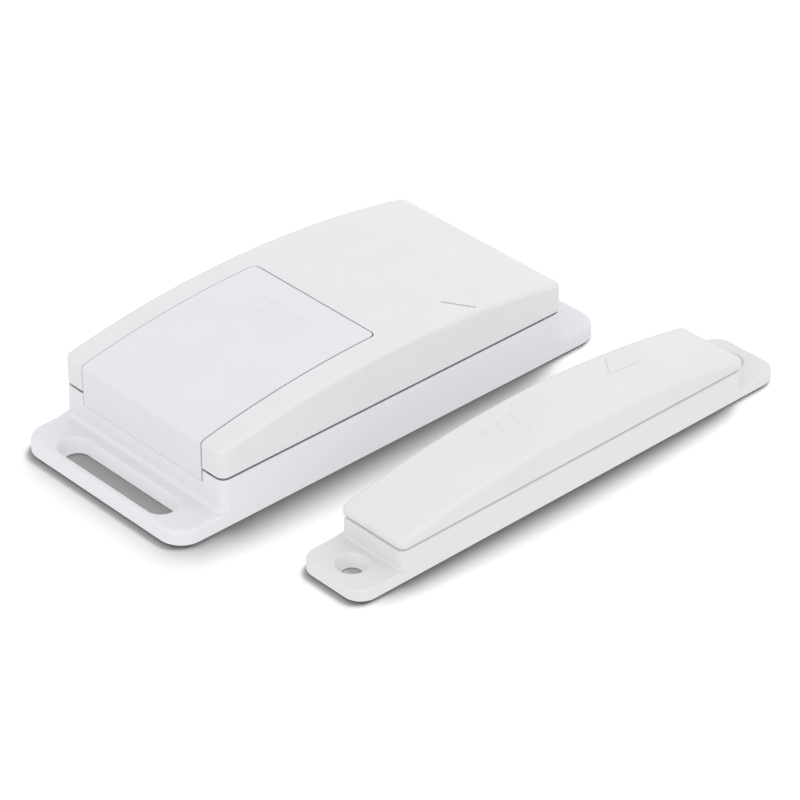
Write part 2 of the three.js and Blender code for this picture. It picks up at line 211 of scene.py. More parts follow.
def arch_slab(top, x0, x1, y0, y1, d0, d1=None, floor=None):
    """Space between two depths below an arched top, or from depth d0 down to a flat floor."""
    xs = spread(x0, x1, max(2, round((x1 - x0) / 2)))
    upper = [(x, arch(top, x) - d0) for x in xs]
    lower = [(x0, floor), (x1, floor)] if d1 is None else [(x, arch(top, x) - d1) for x in xs]
    profile = lower + upper[::-1]
    return loft([[(x, y, z) for x, z in profile] for y in (y0, y1)])


def turned(profile, at, segments, axis="Z"):
    """Solid of revolution; profile is (radius, height) from axis to axis, or back to its start."""
    bm = bmesh.new()
    rows = []
    angles = [2 * math.pi * i / segments for i in range(segments)]
    for r, h in profile:
        if r == 0:
            rows.append([bm.verts.new((0, 0, h))])
            continue
        rows.append([bm.verts.new((r * math.cos(a), r * math.sin(a), h)) for a in angles])
    for low, high in zip(rows, rows[1:]):
        for i in range(segments):
            j = (i + 1) % segments
            if len(low) == 1 and len(high) > 1:
                bm.faces.new((low[0], high[j], high[i]))
            elif len(high) == 1 and len(low) > 1:
                bm.faces.new((low[i], low[j], high[0]))
            elif len(low) > 1:
                bm.faces.new((low[i], low[j], high[j], high[i]))
    turn = {"Z": Matrix(), "X": Matrix.Rotation(math.pi / 2, 4, "Y")}[axis]
    bmesh.ops.transform(bm, matrix=Matrix.Translation(at) @ turn, verts=bm.verts)
    return solid(bm)


def cylinder(x, y, r, z0, z1, segments=32):
    return turned([(0, z0), (r, z0), (r, z1), (0, z1)], (x, y, 0), segments)


def discard(obj):
    """Removes an object and its mesh."""
    mesh = obj.data
    bpy.data.objects.remove(obj)
    bpy.data.meshes.remove(mesh)


def combine(obj, operation, *others):
    """Boolean with each of the others in turn, which are used up."""
    for other in others:
        mod = obj.modifiers.new("boolean", "BOOLEAN")
        mod.operation = operation
        mod.solver = "EXACT"
        mod.object = other
        bpy.context.view_layer.update()
        dg = bpy.context.evaluated_depsgraph_get()
        mesh = bpy.data.meshes.new_from_object(obj.evaluated_get(dg))
        obj.modifiers.clear()
        bm = bmesh.new()
        bm.from_mesh(mesh)
        weld(bm)
        bm.to_mesh(mesh)
        bm.free()
        old, obj.data = obj.data, mesh
        bpy.data.meshes.remove(old)
        discard(other)
    return obj


def cut(obj, *others):
    return combine(obj, "DIFFERENCE", *others)


def add(obj, *others):
    return combine(obj, "UNION", *others)


def keep(obj, *others):
    return combine(obj, "INTERSECT", *others)


def soften(obj, width, skip=None, angle=30):
    """Rounds the edges sharper than angle, except where skip(middle of the edge) is true."""
    bm = bmesh.new()
    bm.from_mesh(obj.data)
    weld(bm, 2e-4)
    edges = []
    for e in bm.edges:
        if len(e.link_faces) != 2 or e.calc_face_angle(0) < math.radians(angle):
            continue
        if not (skip and skip((e.verts[0].co + e.verts[1].co) / 2)):
            edges.append(e)
    bmesh.ops.bevel(bm, geom=edges, offset=width, offset_type="OFFSET", segments=2,
                    profile=0.5, affect="EDGES", clamp_overlap=True, loop_slide=True)
    weld(bm, 1e-3)
    bm.to_mesh(obj.data)
    bm.free()
    return obj


def finish_piece(obj, name, body, nodes, material, sharp):
    """Names, scales and shades a piece, gives it its material, attaches it to its body and hides
    the CAD nodes it replaces; edges over `sharp` degrees stay sharp.
    """
    obj.name = obj.data.name = name
    obj.data.transform(Matrix.Scale(MM, 4))
    obj.data.shade_smooth()
    obj.data.set_sharp_from_angle(angle=math.radians(sharp))
    mod = obj.modifiers.new("normals", "WEIGHTED_NORMAL")
    mod.keep_sharp = True
    obj.data.materials.clear()
    obj.data.materials.append(material)
    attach(obj, body)
    if nodes:
        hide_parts(*nodes)


# ---- housing shapes -----------------------------------------------------------------------
def tray(half, half_w, corner, thick, edge, body, body_w, body_r, top, fillet, under=0.25,
         lip=0.18, fall=0.7):
    """Base with a flange at each end: rounded rims, a drafted body wall and a fillet at its foot.

    The wall's upper face falls away inwards, so the seam above it reads as a dark line.
    half, half_w, corner and thick are the flanges' sizes, edge and under their upper and lower
    rounding. body, body_w, body_r and top are the wall's sizes, and lip is the rounding of its rim.
    """
    reach = body - body_r
    stations = spread(reach, -reach, 44)
    # More stations where the rim's rounding grows from nothing beside the body to full size.
    extra = [x for x in (half - corner - 0.01, body + 2.6, body + 1.8, body + 1.0, body + 0.3,
                         body - 0.6) if reach < x < half - corner]
    plan = outline(half, half_w, corner, extra + stations + [-x for x in reversed(extra)], 10)

    def rim(x):
        return edge * smoothstep(body - 0.9, body + 2.4, abs(x))

    rings = []
    for s, c in quarter(3):
        rings.append([(*(p - n * under * (1 - s)), under * (1 - c)) for p, n in plan])
    for s, c in quarter(6):
        rings.append([(*(p - n * rim(p.x) * (1 - c)), thick - rim(p.x) * (1 - s))
                      for p, n in plan])
    bm = bmesh.new()
    low = add_rings(bm, rings)

    # Steps of (growth of the outline, height).
    walls = [(fillet * (1 - s), thick + fillet * (1 - c)) for s, c in quarter(6)]
    walls += [(0, top - lip), (-lip * 0.3, top - lip * 0.3), (-lip, top)]
    inward = min(1.1, body_r - 0.1)
    walls.append((-inward, top - fall * inward))
    high = []
    for growth, z in walls:
        draft = (half_w - body_w) * (z - thick) / (top - thick)
        grow, shrink = max(growth, 0), min(growth, 0)
        pts = outline(body + grow, half_w - draft, body_r + grow, stations[1:-1])
        high.append([(*(p + n * shrink), z) for p, n in pts])
    high = add_rings(bm, high)
    ladder(bm, high[-1])
    bm.faces.new(reversed(low[0]))

    def end(ring, sign):
        """The ring's vertices round one end; the +X end straddles the ring's start."""
        first = len(ring) // 2 if sign > 0 else 0
        return [v for v in ring[first:] + ring[:first] if v.co.x * sign > reach - 1e-4]

    for sign in (1, -1):
        bm.faces.new(end(low[-1], sign) + list(reversed(end(high[0], sign)[1:-1])))
    return solid(bm)


def dome(top, half_w, corner, edge, z0, lip=0.18, steps=56):
    """Outside of a cover: straight walls, an arched top and a rounded rim where they meet."""
    reach = top["half"] - corner
    pts = outline(top["half"], half_w, corner, spread(reach, -reach, steps)[1:-1])
    rings = []
    for s, c in quarter(2):
        rings.append([(*(p - n * lip * (1 - s)), z0 + lip * (1 - c)) for p, n in pts])
    turns = 7
    for i in range(turns + 1):
        ring = []
        for p, n in pts:
            lean = math.atan(-arch_slope(top, p.x) * math.copysign(1, p.x) * abs(n.x))
            last = math.pi / 2 - lean
            a = last * i / turns
            q_end = p - n * edge * (1 - math.cos(last))
            q = p - n * edge * (1 - math.cos(a))
            z = arch(top, q_end.x) - edge * (math.sin(last) - math.sin(a))
            ring.append((q.x, q.y, z))
        rings.append(ring)
    bm = bmesh.new()
    made = add_rings(bm, rings)
    ladder(bm, made[-1])
    bm.faces.new(reversed(made[0]))
    return solid(bm)


def ridge(top, x, half, width=0.9, height=0.36):
    """Low grip bar across the top: a soft swell that runs out at both ends."""
    root = 0.5  # how far it reaches into the top
    rings = []
    ends = [(-half + width * (1 - c), max(0.04, s)) for s, c in quarter(6)]
    slope = arch_slope(top, x)
    for y, s in ends + [(-y, s) for y, s in reversed(ends)]:
        ring = []
        for t in spread(1, -1, 18):
            dx, dz = width * s * t, height * s * math.cos(math.pi / 2 * t) ** 1.5
            ring.append((x + dx, y, arch(top, x) + slope * dx + dz))
        ring.append((x - width * s, y, arch(top, x) - root))
        ring.append((x + width * s, y, arch(top, x) - root))
        rings.append(ring)
    return loft(rings)


def mark_groove(top, y_base, y_tip, width=0.3, depth=0.4):
    """Narrow channel along the foot of the mark's front leg."""
    a, b = Vector((MARK_X - MARK_HALF, y_base)), Vector((MARK_X, y_tip))
    aside = Vector((y_tip - y_base, -MARK_HALF)).normalized() * width
    corners = [a, b, b + aside, a + aside]
    return loft([[(q.x, q.y, arch(top, q.x) + z) for q in corners] for z in (-depth, 2)])


def mark(top, y_base, y_tip, height):
    """Raised triangle that follows the top, with slightly eased edges."""
    corners = [(MARK_X - MARK_HALF, y_base), (MARK_X + MARK_HALF, y_base), (MARK_X, y_tip)]
    cx = sum(c[0] for c in corners) / 3
    cy = sum(c[1] for c in corners) / 3
    ease, root = 0.07, 0.6
    rings = []
    for shrink, lift in ((0, -root), (0, height - ease), (ease * 0.5, height - ease * 0.3),
                         (ease * 1.6, height)):
        ring = []
        for x, y in corners:
            d = Vector((x - cx, y - cy))
            q = Vector((x, y)) - d.normalized() * shrink * 1.6
            ring.append((q.x, q.y, arch(top, q.x) + lift))
        rings.append(ring)
    return loft(rings)


def flared(x, hx, hy, profile, end_slope=2.6):
    """Upright cutter over a round-ended slot that grows outwards by steps of (growth, height).

    Where it is narrower than its nominal size, its ends pull in more than its sides.
    """
    r = hx - 0.01
    rings = []
    for grow, z in profile:
        long = hy + (grow if grow > 0 else grow * end_slope)
        plan = outline(hx + grow, long, r + grow, arc=12)
        rings.append([(p.x + x, p.y, z) for p, _ in plan])
    return loft(rings)


def lipped(thick, lip, under, r0, r1):
    """Steps of (growth, height) through a hole that widens from r0 to r1.

    It has a rounded upper lip and an eased lower one.
    """
    steps = [(r0 + under, -1.0), (r0 + under, 0.0), (r0, under)]
    for s, c in quarter(6):
        z = thick - lip * (1 - s)
        steps.append((r0 + (r1 - r0) * z / thick + lip * (1 - c), z))
    return steps + [(steps[-1][0], thick + 1.0)]


# ---- the moulded shells -------------------------------------------------------------------
def base_shell():
    top = T_SEAM - GAP / 2 - 0.12
    base = tray(half=T_HALF, half_w=T_HALF_W, corner=T_FLANGE_R, thick=T_FLANGE_T, edge=0.8,
                body=T_BODY, body_w=T_BODY_W, body_r=T_BODY_R, top=top, fillet=0.9)
    floor = 1.0  # additions start inside the floor
    cavity = plate(0, 0, 2 * (T_BODY - T_WALL), 35.2, 1, 1.8, 14)
    cut(cavity, block(-40, -34.1, -16, 16, 0, 20))
    cut(base, cavity, block(-39, -35.4, -15, 15, LID_FOOT - 0.04, 20))
    # Lips that reach up inside the cover on three sides, on feet that join them to the walls.
    lip_low, lip_top, foot_low = 6.5, top + 1.4, 6.6
    for lip, foot, rib in zip(either_side(16.6, 17.3), either_side(16.9, 18.2),
                              either_side(5.6, 6.8)):
        add(base, block(-32, 33, *foot, foot_low, top - 0.05),
            block(-34.5, 35.2, *lip, lip_low, lip_top))
        add(base, block(-31, -3, *rib, floor, 7.6))  # beside the cell
    add(base, block(34.7, 36, -16, 16, foot_low, top - 0.3),
        block(34.5, 35.2, -16.9, 16.9, lip_low, lip_top))
    add(base, block(-1.8, -0.6, -7.5, 7.5, floor, 8.5))  # behind the cell
    for x, y in BOARD_SCREWS + BOARD_POSTS:
        add(base, cylinder(x, y, 2.2, floor, 3.9))
    for x, y in BOARD_SCREWS:
        cut(base, cylinder(x, y, THREAD_HOLE, 1.2, 10))
    for x, y in COVER_SCREWS:
        add(base, cylinder(x, y, 4.2, floor, 3.6))
        cut(base, cylinder(x, y, 3.1, -1, 2.1, 48), cylinder(x, y, SCREW_HOLE, 1, 10))
    for x, long in SLOTS:
        cut(base, flared(x, SLOT_R, long, lipped(T_FLANGE_T, 0.35, 0.1, -0.35, 0)))
    return base


def lid_recess():
    """The space that the cover leaves for the lid, open at the front."""
    w = LID_HALF_W + GAP
    plan = plate(LID_REAR + GAP - 30, 0, 60, 2 * w, LID_R + GAP, 0, 30)
    keep(plan, arch_slab(T_TOP, -37.49, 2, -w - 1, w + 1, -3, LID_T + GAP))
    return add(plan, block(-45, -35.4, -w, w, 0, 30))


def cover_shell():
    foot = T_SEAM + GAP / 2
    inner, inner_w = T_BODY - T_WALL, T_BODY_W - T_WALL
    recess, shelf, shelf_w = LID_T + GAP, 1.2, 16.4
    cover = dome(T_TOP, T_BODY_W, T_BODY_R, T_EDGE, foot)
    cut(cover, arch_slab(T_TOP, -inner, inner, -inner_w, inner_w, T_WALL, floor=foot - 3))
    # A shelf under the lid, with a wall down its front.
    add(cover, arch_slab(T_TOP, -35.6, 1.3, -shelf_w, shelf_w, 1.5, recess + shelf),
        block(-35.6, -34.2, -shelf_w, shelf_w, foot, 12.6))
    for x, y in COVER_SCREWS:
        depth = recess + shelf / 2 if x < 0 else T_WALL / 2
        boss = cut(cylinder(x, y, 2.8, 3.9, arch(T_TOP, x) - depth),
                   cylinder(x, y, SCREW_HOLE, 3, 10.5))
        add(cover, boss)
    window = keep(block(-33.9, -2, -6.2, 6.2, 8, 20), arch_slab(T_TOP, -34.5, 0, -8, 8, 1.9, 6))
    clip = CLIP_HALF_W + 0.4
    cut(cover, lid_recess(), window, arch_slab(T_TOP, -3.6, 2, -clip, clip, 2, 5),
        cylinder(*TAMPER, 1.9, 9, 20))
    cut(cover, mark_groove(T_TOP, *T_MARK))
    return add(cover, mark(T_TOP, *T_MARK, 0.12))


def lid_shell():
    plan = plate(LID_REAR - 30, LID_FAR / 2, 60, 2 * LID_HALF_W + LID_FAR, LID_R, 0, 30)
    lid = keep(dome(T_TOP, T_BODY_W, T_BODY_R, T_EDGE, LID_FOOT, 0.03), plan)
    cut(lid, arch_slab(T_TOP, -T_BODY + LID_T, 5, -30, 30, LID_T, floor=1))
    w, bottom = CLIP_HALF_W, 3.1
    add(lid, arch_slab(T_TOP, -3.2, -0.9, -w, w, 1.2, bottom),
        arch_slab(T_TOP, -1.2, 1.5, -w, w, 2.3, bottom))
    return add(lid, *(ridge(T_TOP, x, T_RIDGE) for x in RIDGE_X))


def magnet_base_shell():
    top = M_SEAM - 0.25
    wall_x, wall_y = M_BODY - M_STEP[0], M_HALF_W - M_STEP[1]
    base = tray(half=M_HALF, half_w=M_HALF_W, corner=M_EAR_R, thick=M_EAR_T, edge=0.35,
                body=wall_x, body_w=wall_y, body_r=1.2, top=top, fillet=0.35, under=0.2,
                lip=0.45, fall=0.2)
    inner = wall_y - M_WALL
    cut(base, plate(0, 0, 2 * (M_BODY - M_WALL), 2 * inner, 0.6, 1.6, 20))
    for x in (2.9, 32.7):  # ribs at the magnet's ends
        add(base, block(x, x + 1.2, -inner - 0.25, inner + 0.25, 1, 5.2))
    for lip, foot in zip(either_side(inner - 0.95, inner - 0.2),
                         either_side(inner - 0.75, inner + 0.35)):
        add(base, block(-32, 0, *foot, 4, top - 0.05), block(-32, 0, *lip, 3.9, top + 1.1))
    for x in (-M_HOLE_X, M_HOLE_X):
        steps = lipped(M_EAR_T, 0.25, 0.15, *M_HOLE_R)
        cut(base, turned([(0, steps[0][1])] + steps + [(0, steps[-1][1])], (x, 0, 0), 48))
    return base


def magnet_cover_shell():
    foot = M_SEAM + 0.22
    cover = dome(M_TOP, M_HALF_W, M_BODY_R, M_EDGE, foot, 0.25)
    deep, wide = M_BODY - M_WALL - 4, M_HALF_W - M_WALL
    cut(cover, arch_slab(M_TOP, -deep, deep, -wide, wide, M_WALL, floor=foot - 1))
    return add(cover, *(ridge(M_TOP, x, M_RIDGE) for x in RIDGE_X), mark(M_TOP, *M_MARK, 0.17))


# ---- materials ----------------------------------------------------------------------------
def shader(name, **sockets):
    """A Principled material; sockets are constants set on the shader itself."""
    mat = bpy.data.materials.new(name)
    mat.use_nodes = True
    bsdf = mat.node_tree.nodes["Principled BSDF"]
    for key, value in sockets.items():
        bsdf.inputs[key.replace("_", " ")].default_value = value
    return mat


def noise(mat, size, detail=3.0):
    """Noise with features of about the given size in millimetres."""
    tree = mat.node_tree
    place = tree.nodes.new("ShaderNodeTexCoord")
    scale = tree.nodes.new("ShaderNodeMapping")
    scale.inputs["Scale"].default_value = [1 / (size * MM)] * 3
    tex = tree.nodes.new("ShaderNodeTexNoise")
    tex.inputs["Scale"].default_value = 1.0
    tex.inputs["Detail"].default_value = detail
    tree.links.new(place.outputs["Object"], scale.inputs["Vector"])
    tree.links.new(scale.outputs["Vector"], tex.inputs["Vector"])
    return tex.outputs["Fac"]


def spread_of(mat, source, low, high):
    """The usual range of a noise, stretched to run from low to high."""
    node = mat.node_tree.nodes.new("ShaderNodeMapRange")
    for key, value in (("From Min", 0.3), ("From Max", 0.7), ("To Min", low), ("To Max", high)):
        node.inputs[key].default_value = value
    mat.node_tree.links.new(source, node.inputs["Value"])
    return node.outputs["Result"]


def blend_colour(mat, source, first, second):
    node = mat.node_tree.nodes.new("ShaderNodeMix")
    node.data_type = "RGBA"
    node.inputs["A"].default_value = (*first, 1)
    node.inputs["B"].default_value = (*second, 1)
    mat.node_tree.links.new(source, node.inputs["Factor"])
    return node.outputs["Result"]


def feed(mat, key, source):
    bsdf = mat.node_tree.nodes["Principled BSDF"]
    mat.node_tree.links.new(source, bsdf.inputs[key])


def bump(mat, *layers):
    """Bump from (source, depth in millimetres) layers."""
    normal = None
    for source, depth in layers:
        node = mat.node_tree.nodes.new("ShaderNodeBump")
        node.inputs["Strength"].default_value = 1.0
        node.inputs["Distance"].default_value = depth * MM
        mat.node_tree.links.new(source, node.inputs["Height"])
        if normal:
            mat.node_tree.links.new(normal, node.inputs["Normal"])
        normal = node.outputs["Normal"]
    feed(mat, "Normal", normal)


def surface(name, colours, rough, size=4.0, fine=0.15, depth=0.002, **sockets):
    """Material whose colour and roughness wander over `size` mm, with a fine grain on top.

    The grain has features of `fine` mm and a bump of `depth` mm.
    """
    mat = shader(name, **sockets)
    wander = noise(mat, size)
    grain = noise(mat, fine, 2.0)
    feed(mat, "Base Color", blend_colour(mat, spread_of(mat, wander, 0, 1), *colours))
    feed(mat, "Roughness", spread_of(mat, noise(mat, size * 0.6), *rough))
    bump(mat, (wander, depth * 4), (grain, depth))
    return mat


def white_plastic(name, low, high):
    return surface(name, (low, high), (0.42, 0.52), size=9, fine=0.22, depth=0.003, IOR=1.46)


# The parts come from different mouldings, and their whites differ a little. The base's white is
# also painted lighter than the rest, a painted fill for the shade that the cover and the magnet
# unit throw on it.
white = white_plastic("moulded_white_plastic", (0.690, 0.687, 0.717), (0.706, 0.703, 0.732))
base_white_painted_lighter = white_plastic("moulded_base_white_painted_lighter", (0.712, 0.708, 0.739), (0.728, 0.724, 0.754))
white_cover = white_plastic("moulded_white_cover", (0.692, 0.691, 0.709), (0.708, 0.707, 0.725))
white_magnet = white_plastic("moulded_white_magnet", (0.684, 0.684, 0.688), (0.699, 0.699, 0.703))
steel = surface("plated_steel", ((0.56, 0.56, 0.57), (0.66, 0.66, 0.66)), (0.22, 0.4),
                Metallic=1.0)
gold = surface("plated_reed_metal", ((0.72, 0.60, 0.36), (0.8, 0.68, 0.42)), (0.2, 0.35),
               Metallic=1.0)
black = surface("black_moulding", ((0.012, 0.012, 0.014), (0.022, 0.022, 0.024)), (0.45, 0.65))
natural = surface("natural_nylon", ((0.66, 0.65, 0.6), (0.72, 0.71, 0.67)), (0.35, 0.5))
copper = surface("enamelled_copper", ((0.55, 0.22, 0.08), (0.68, 0.3, 0.12)), (0.2, 0.35),
                 Metallic=1.0, Coat_Weight=0.5)
magnet = surface("sintered_ferrite", ((0.03, 0.03, 0.032), (0.055, 0.055, 0.058)), (0.4, 0.6),
                 size=1.5, depth=0.01, Metallic=0.3)
foam = surface("foam_pad", ((0.05, 0.05, 0.052), (0.085, 0.085, 0.088)), (0.85, 1.0),
               size=0.8, fine=0.35, depth=0.08)
laminate = surface("solder_mask", ((0.012, 0.12, 0.035), (0.02, 0.17, 0.05)), (0.25, 0.4),
                   size=2.5)
sleeve = surface("capacitor_sleeve", ((0.02, 0.05, 0.16), (0.03, 0.07, 0.2)), (0.25, 0.4))
jacket = surface("cell_jacket", ((0.10, 0.105, 0.12), (0.14, 0.145, 0.16)), (0.25, 0.4))
glass = shader("reed_glass", Base_Color=(0.85, 0.95, 0.9, 1), Transmission_Weight=1.0, IOR=1.5)
feed(glass, "Roughness", spread_of(glass, noise(glass, 2.0), 0.02, 0.08))
bump(glass, (noise(glass, 1.2), 0.01))

# The material for each finish slot, except the white mouldings and the foam.
FINISH = {"contact_steel": steel, "screw_steel": steel, "reed_metal": gold,
          "black_plastic": black, "natural_plastic": natural, "copper_wire": copper,
          "ferrite": magnet, "board_laminate": laminate, "capacitor_sleeve": sleeve,
          "cell_jacket": jacket, "reed_glass": glass}


# ---- moulded pieces -----------------------------------------------------------------------
def place_on_door(obj):
    obj.data.transform(Matrix.Translation((*M_POS, 0)))
    return obj


def at_lid_foot(middle):
    """The tight joint between the lid's foot and the base, which keeps its edges sharp."""
    return middle.x < -35 and abs(middle.z - LID_FOOT) < 0.3 and abs(middle.y) < LID_HALF_W + 0.2


def moulded(obj, name, body, node, ease, plastic):
    soften(obj, ease, at_lid_foot)
    finish_piece(obj, name, body, [node], plastic, 50)


# The base gets the white that is painted lighter, standing in for the light its shade takes away.
moulded(base_shell(), "housing_base", "transmitter", "transmitter_base", 0.15, base_white_painted_lighter)
moulded(cover_shell(), "housing_cover", "transmitter", "transmitter_cover", 0.15, white_cover)
moulded(lid_shell(), "sliding_lid", "lid", "battery_lid", 0.2, white)
moulded(place_on_door(magnet_base_shell()), "magnet_housing_base", "magnet_unit", "magnet_base",
        0.12, white_magnet)
moulded(place_on_door(magnet_cover_shell()), "magnet_housing_cover", "magnet_unit",
        "magnet_cover", 0.12, white_magnet)


# ---- inside the transmitter ---------------------------------------------------------------
def tube(points, radius, sides=10):
    """Round wire along a path."""
    points = [Vector(p) for p in points]
    last = len(points) - 1
    normal = (points[1] - points[0]).orthogonal().normalized()
    rings = []
    for i, p in enumerate(points):
        along = (points[min(i + 1, last)] - points[max(i - 1, 0)]).normalized()
        normal = (normal - along * normal.dot(along)).normalized()
        side = along.cross(normal)
        angles = [2 * math.pi * k / sides for k in range(sides)]
        rings.append([p + (normal * math.cos(a) + side * math.sin(a)) * radius for a in angles])
    return loft(rings)


def join(*objs):
    """One object from several separate shells."""
    bm = bmesh.new()
    for obj in objs:
        bm.from_mesh(obj.data)
        discard(obj)
    return new_object(bm)


def coil(x0, x1, r0, r1, turns, y, z, per_turn, start=0.0):
    """Points of a helix along X, whose radius goes from r0 to r1."""
    count = int(turns * per_turn)
    out = []
    for i in range(count + 1):
        t = i / count
        a = start + 2 * math.pi * turns * t
        r = r0 + (r1 - r0) * t
        out.append((x0 + (x1 - x0) * t, y + r * math.cos(a), z + r * math.sin(a)))
    return out


def screw(x, y, under, crown, head_r, shank_r, tip):
    """Pan-head self-tapping screw with a real thread and a cross recess.

    Its head lies between the heights under and crown, and its shank ends at tip.
    """
    up = 1 if crown > under else -1
    length, rise = abs(under - tip), abs(crown - under)
    pitch, root = 0.9, shank_r * 0.72
    seat = 0.15  # the underside of the head rises this far to its rim
    rows = []  # (height, radius as a function of the angle)

    steps = int(length / pitch * 12)
    for i in range(steps + 1):
        h = length * i / steps
        taper = smoothstep(0, 1.6, h) * (1 - smoothstep(length - 1.2, length - 0.3, h))

        def thread(a, h=h, taper=taper):
            saw = abs(((h / pitch - a / (2 * math.pi)) % 1.0) - 0.5) * 2
            core = root * (0.55 + 0.45 * smoothstep(0, 1.2, h))
            return core + (shank_r - root) * taper * max(0.0, saw - 0.45) / 0.55

        rows.append((h, thread))
    rows.append((length, lambda _: head_r - 0.12))
    for s, c in quarter(6):
        r = head_r - 0.9 * rise * (1 - c)
        rows.append((length + seat + (rise - seat) * s, lambda _, r=r: r))
    rings = []
    for h, radius in rows:
        ring = []
        for a in spread(0, 2 * math.pi, 24)[:-1]:
            r = radius(a)
            ring.append((x + r * math.cos(a), y + r * math.sin(a), tip + up * h))
        rings.append(ring)
    arm, slit = head_r * 0.6, 0.28
    low, high = sorted((crown - up * 0.8, crown + up))
    return cut(loft(rings), block(x - arm, x + arm, y - slit, y + slit, low, high),
               block(x - slit, x + slit, y - arm, y + arm, low, high))


def lead(x, y, dx, dy, reach=1.1, wide=0.28, rise=0.55, thick=0.12):
    """Gull-wing pin that leaves a chip along (dx, dy) and lands on the board."""
    rings = []
    for s, h in ((0, rise), (reach * 0.35, rise), (reach * 0.55, 0.12), (reach, 0.06)):
        px, py = x + dx * s, y + dy * s
        ring = []
        for side, lift in ((-1, 0.0), (1, 0.0), (1, thick), (-1, thick)):
            ring.append((px + dy * side * wide / 2, py + dx * side * wide / 2,
                         BOARD_TOP - 0.3 + h + lift))
        rings.append(ring)
    return loft(rings)


def chip_leads(x0, x1, y0, y1, pitch):
    """Leads on all four sides of a chip."""
    out = []
    for sign, face in ((-1, y0), (1, y1)):
        count = int((x1 - x0 - 0.8) / pitch)
        first = (x0 + x1 - pitch * count) / 2
        out += [lead(first + pitch * i, face, 0, sign) for i in range(count + 1)]
    for sign, face in ((-1, x0), (1, x1)):
        count = int((y1 - y0 - 0.8) / pitch)
        first = (y0 + y1 - pitch * count) / 2
        out += [lead(face, first + pitch * i, sign, 0) for i in range(count + 1)]
    return out


def solder(x, y, r=0.75, h=0.45):
    """Solder fillet round a lead."""
    z = BOARD_TOP - 0.3
    profile = [(r * (1 - t), z + h * t**2.2) for t in spread(0, 0.8, 5)]
    return turned([(0, z)] + profile + [(0, profile[-1][1])], (x, y, 0), 20)


def piece(obj, name, nodes, slot, sharp=40):
    finish_piece(obj, name, "transmitter", nodes, FINISH[slot], sharp)


def battery():
    """The cell's jacket, shrunk over both ends of its metal can."""
    (a, b), r = CELL_X, CELL_R
    wrap = [(4.05, a + 0.05), (4.3, a), (4.75, a + 0.04), (5.02, a + 0.16), (r, a + 0.45)]
    wrap += [(r, x) for x in spread(a + 0.6, b - 0.6, 8)]
    wrap += [(r, b - 0.42), (5.02, b - 0.15), (4.75, b - 0.03), (4.3, b), (4.05, b - 0.05),
             (4.05, b - 0.3), (4.4, b - 0.4), (4.4, a + 0.4), (4.05, a + 0.3), (4.05, a + 0.05)]
    piece(turned(wrap, (0, 0, CELL_Z), 64, "X"), "battery_jacket", ["battery_cell"], "cell_jacket")
    can = [(0, a + 0.1), (2.9, a + 0.1), (3.1, a + 0.22), (3.9, a + 0.22), (4.3, a + 0.5),
           (4.3, b - 0.5), (3.9, b - 0.2), (3.2, b - 0.15), (3.0, b - 0.5), (2.35, b - 0.5),
           (2.2, b - 0.2), (2.1, b + 1.15), (1.85, b + 1.42), (1.4, b + 1.5), (0, b + 1.5)]
    piece(turned(can, (0, 0, CELL_Z), 48, "X"), "battery_can", [], "contact_steel")


def spring_and_antenna():
    """The cell's conical contact spring and the aerial's winding, each one bent wire."""
    flat = coil(-32.95, -32.85, 3.6, 3.6, 1.0, 0, CELL_Z, 28)
    rise = coil(-32.85, -31.95, 3.6, 2.6, 2.5, 0, CELL_Z, 28)
    tip = coil(-31.95, -31.9, 2.6, 2.45, 0.75, 0, CELL_Z, 28, math.pi)
    piece(tube(flat + rise[1:] + tip[1:], 0.26), "contact_spring", ["battery_spring"],
          "contact_steel")
    wire = coil(11.4, 25.6, 2.15, 2.15, 8, 12.4, 9.2, 22, -math.pi / 2)
    first, end = wire[0], wire[-1]
    foot = [(first[0], first[1], BOARD_TOP - 0.2)]
    tail = [(end[0] + 0.6, end[1], end[2]), (end[0] + 1.2, end[1], end[2] - 0.15),
            (27.0, end[1], end[2] - 0.6), (27.0, end[1], BOARD_TOP - 0.2)]
    piece(tube(foot + wire + tail, 0.33, 12), "antenna_winding", ["antenna_coil"], "copper_wire")


def capacitor():
    """The shrunk sleeve, and the can's top with its cross vent."""
    (x, y), z = CAPACITOR, BOARD_TOP
    slit, arm = 0.08, 1.4
    side = [(2.1, z), (2.42, z + 0.12), (2.5, z + 0.5), (2.5, z + 0.9), (2.3, z + 1.15),
            (2.3, z + 1.3), (2.5, z + 1.55), (2.5, z + 5.9), (2.42, z + 6.3), (2.2, z + 6.42),
            (1.9, z + 6.4), (1.9, z + 6.2), (2.05, z + 6.1), (2.05, z + 0.3), (2.1, z)]
    piece(turned(side, (x, y, 0), 40), "capacitor_can", ["smoothing_capacitor"],
          "capacitor_sleeve")
    top = turned([(0, z + 0.1), (2.0, z + 0.1), (2.0, z + 6.15), (1.86, z + 6.34),
                  (0, z + 6.34)], (x, y, 0), 40)
    cut(top, block(x - arm, x + arm, y - slit, y + slit, z + 6.24, z + 7),
        block(x - slit, x + slit, y - arm, y + arm, z + 6.24, z + 7))
    piece(top, "capacitor_vent", [], "contact_steel")


def resistor(x, y, turn):
    """Body and two end caps of a chip resistor, which lies along X, or along Y if turned."""
    z = BOARD_TOP - 0.28
    hx, hy = (0.31, 0.558) if turn else (0.558, 0.5)
    body = block(x - hx, x + hx, y - hy, y + hy, z, z + 0.5)
    away, cap, cap_w = 0.75, 0.22, 0.52
    ends = []
    for sign in SIGNS:
        if turn:
            mid = y + sign * away
            ends.append(block(x - cap_w, x + cap_w, mid - cap, mid + cap, z - 0.01, z + 0.54))
        else:
            mid = x + sign * away
            ends.append(block(mid - cap, mid + cap, y - cap_w, y + cap_w, z - 0.01, z + 0.54))
    return body, ends


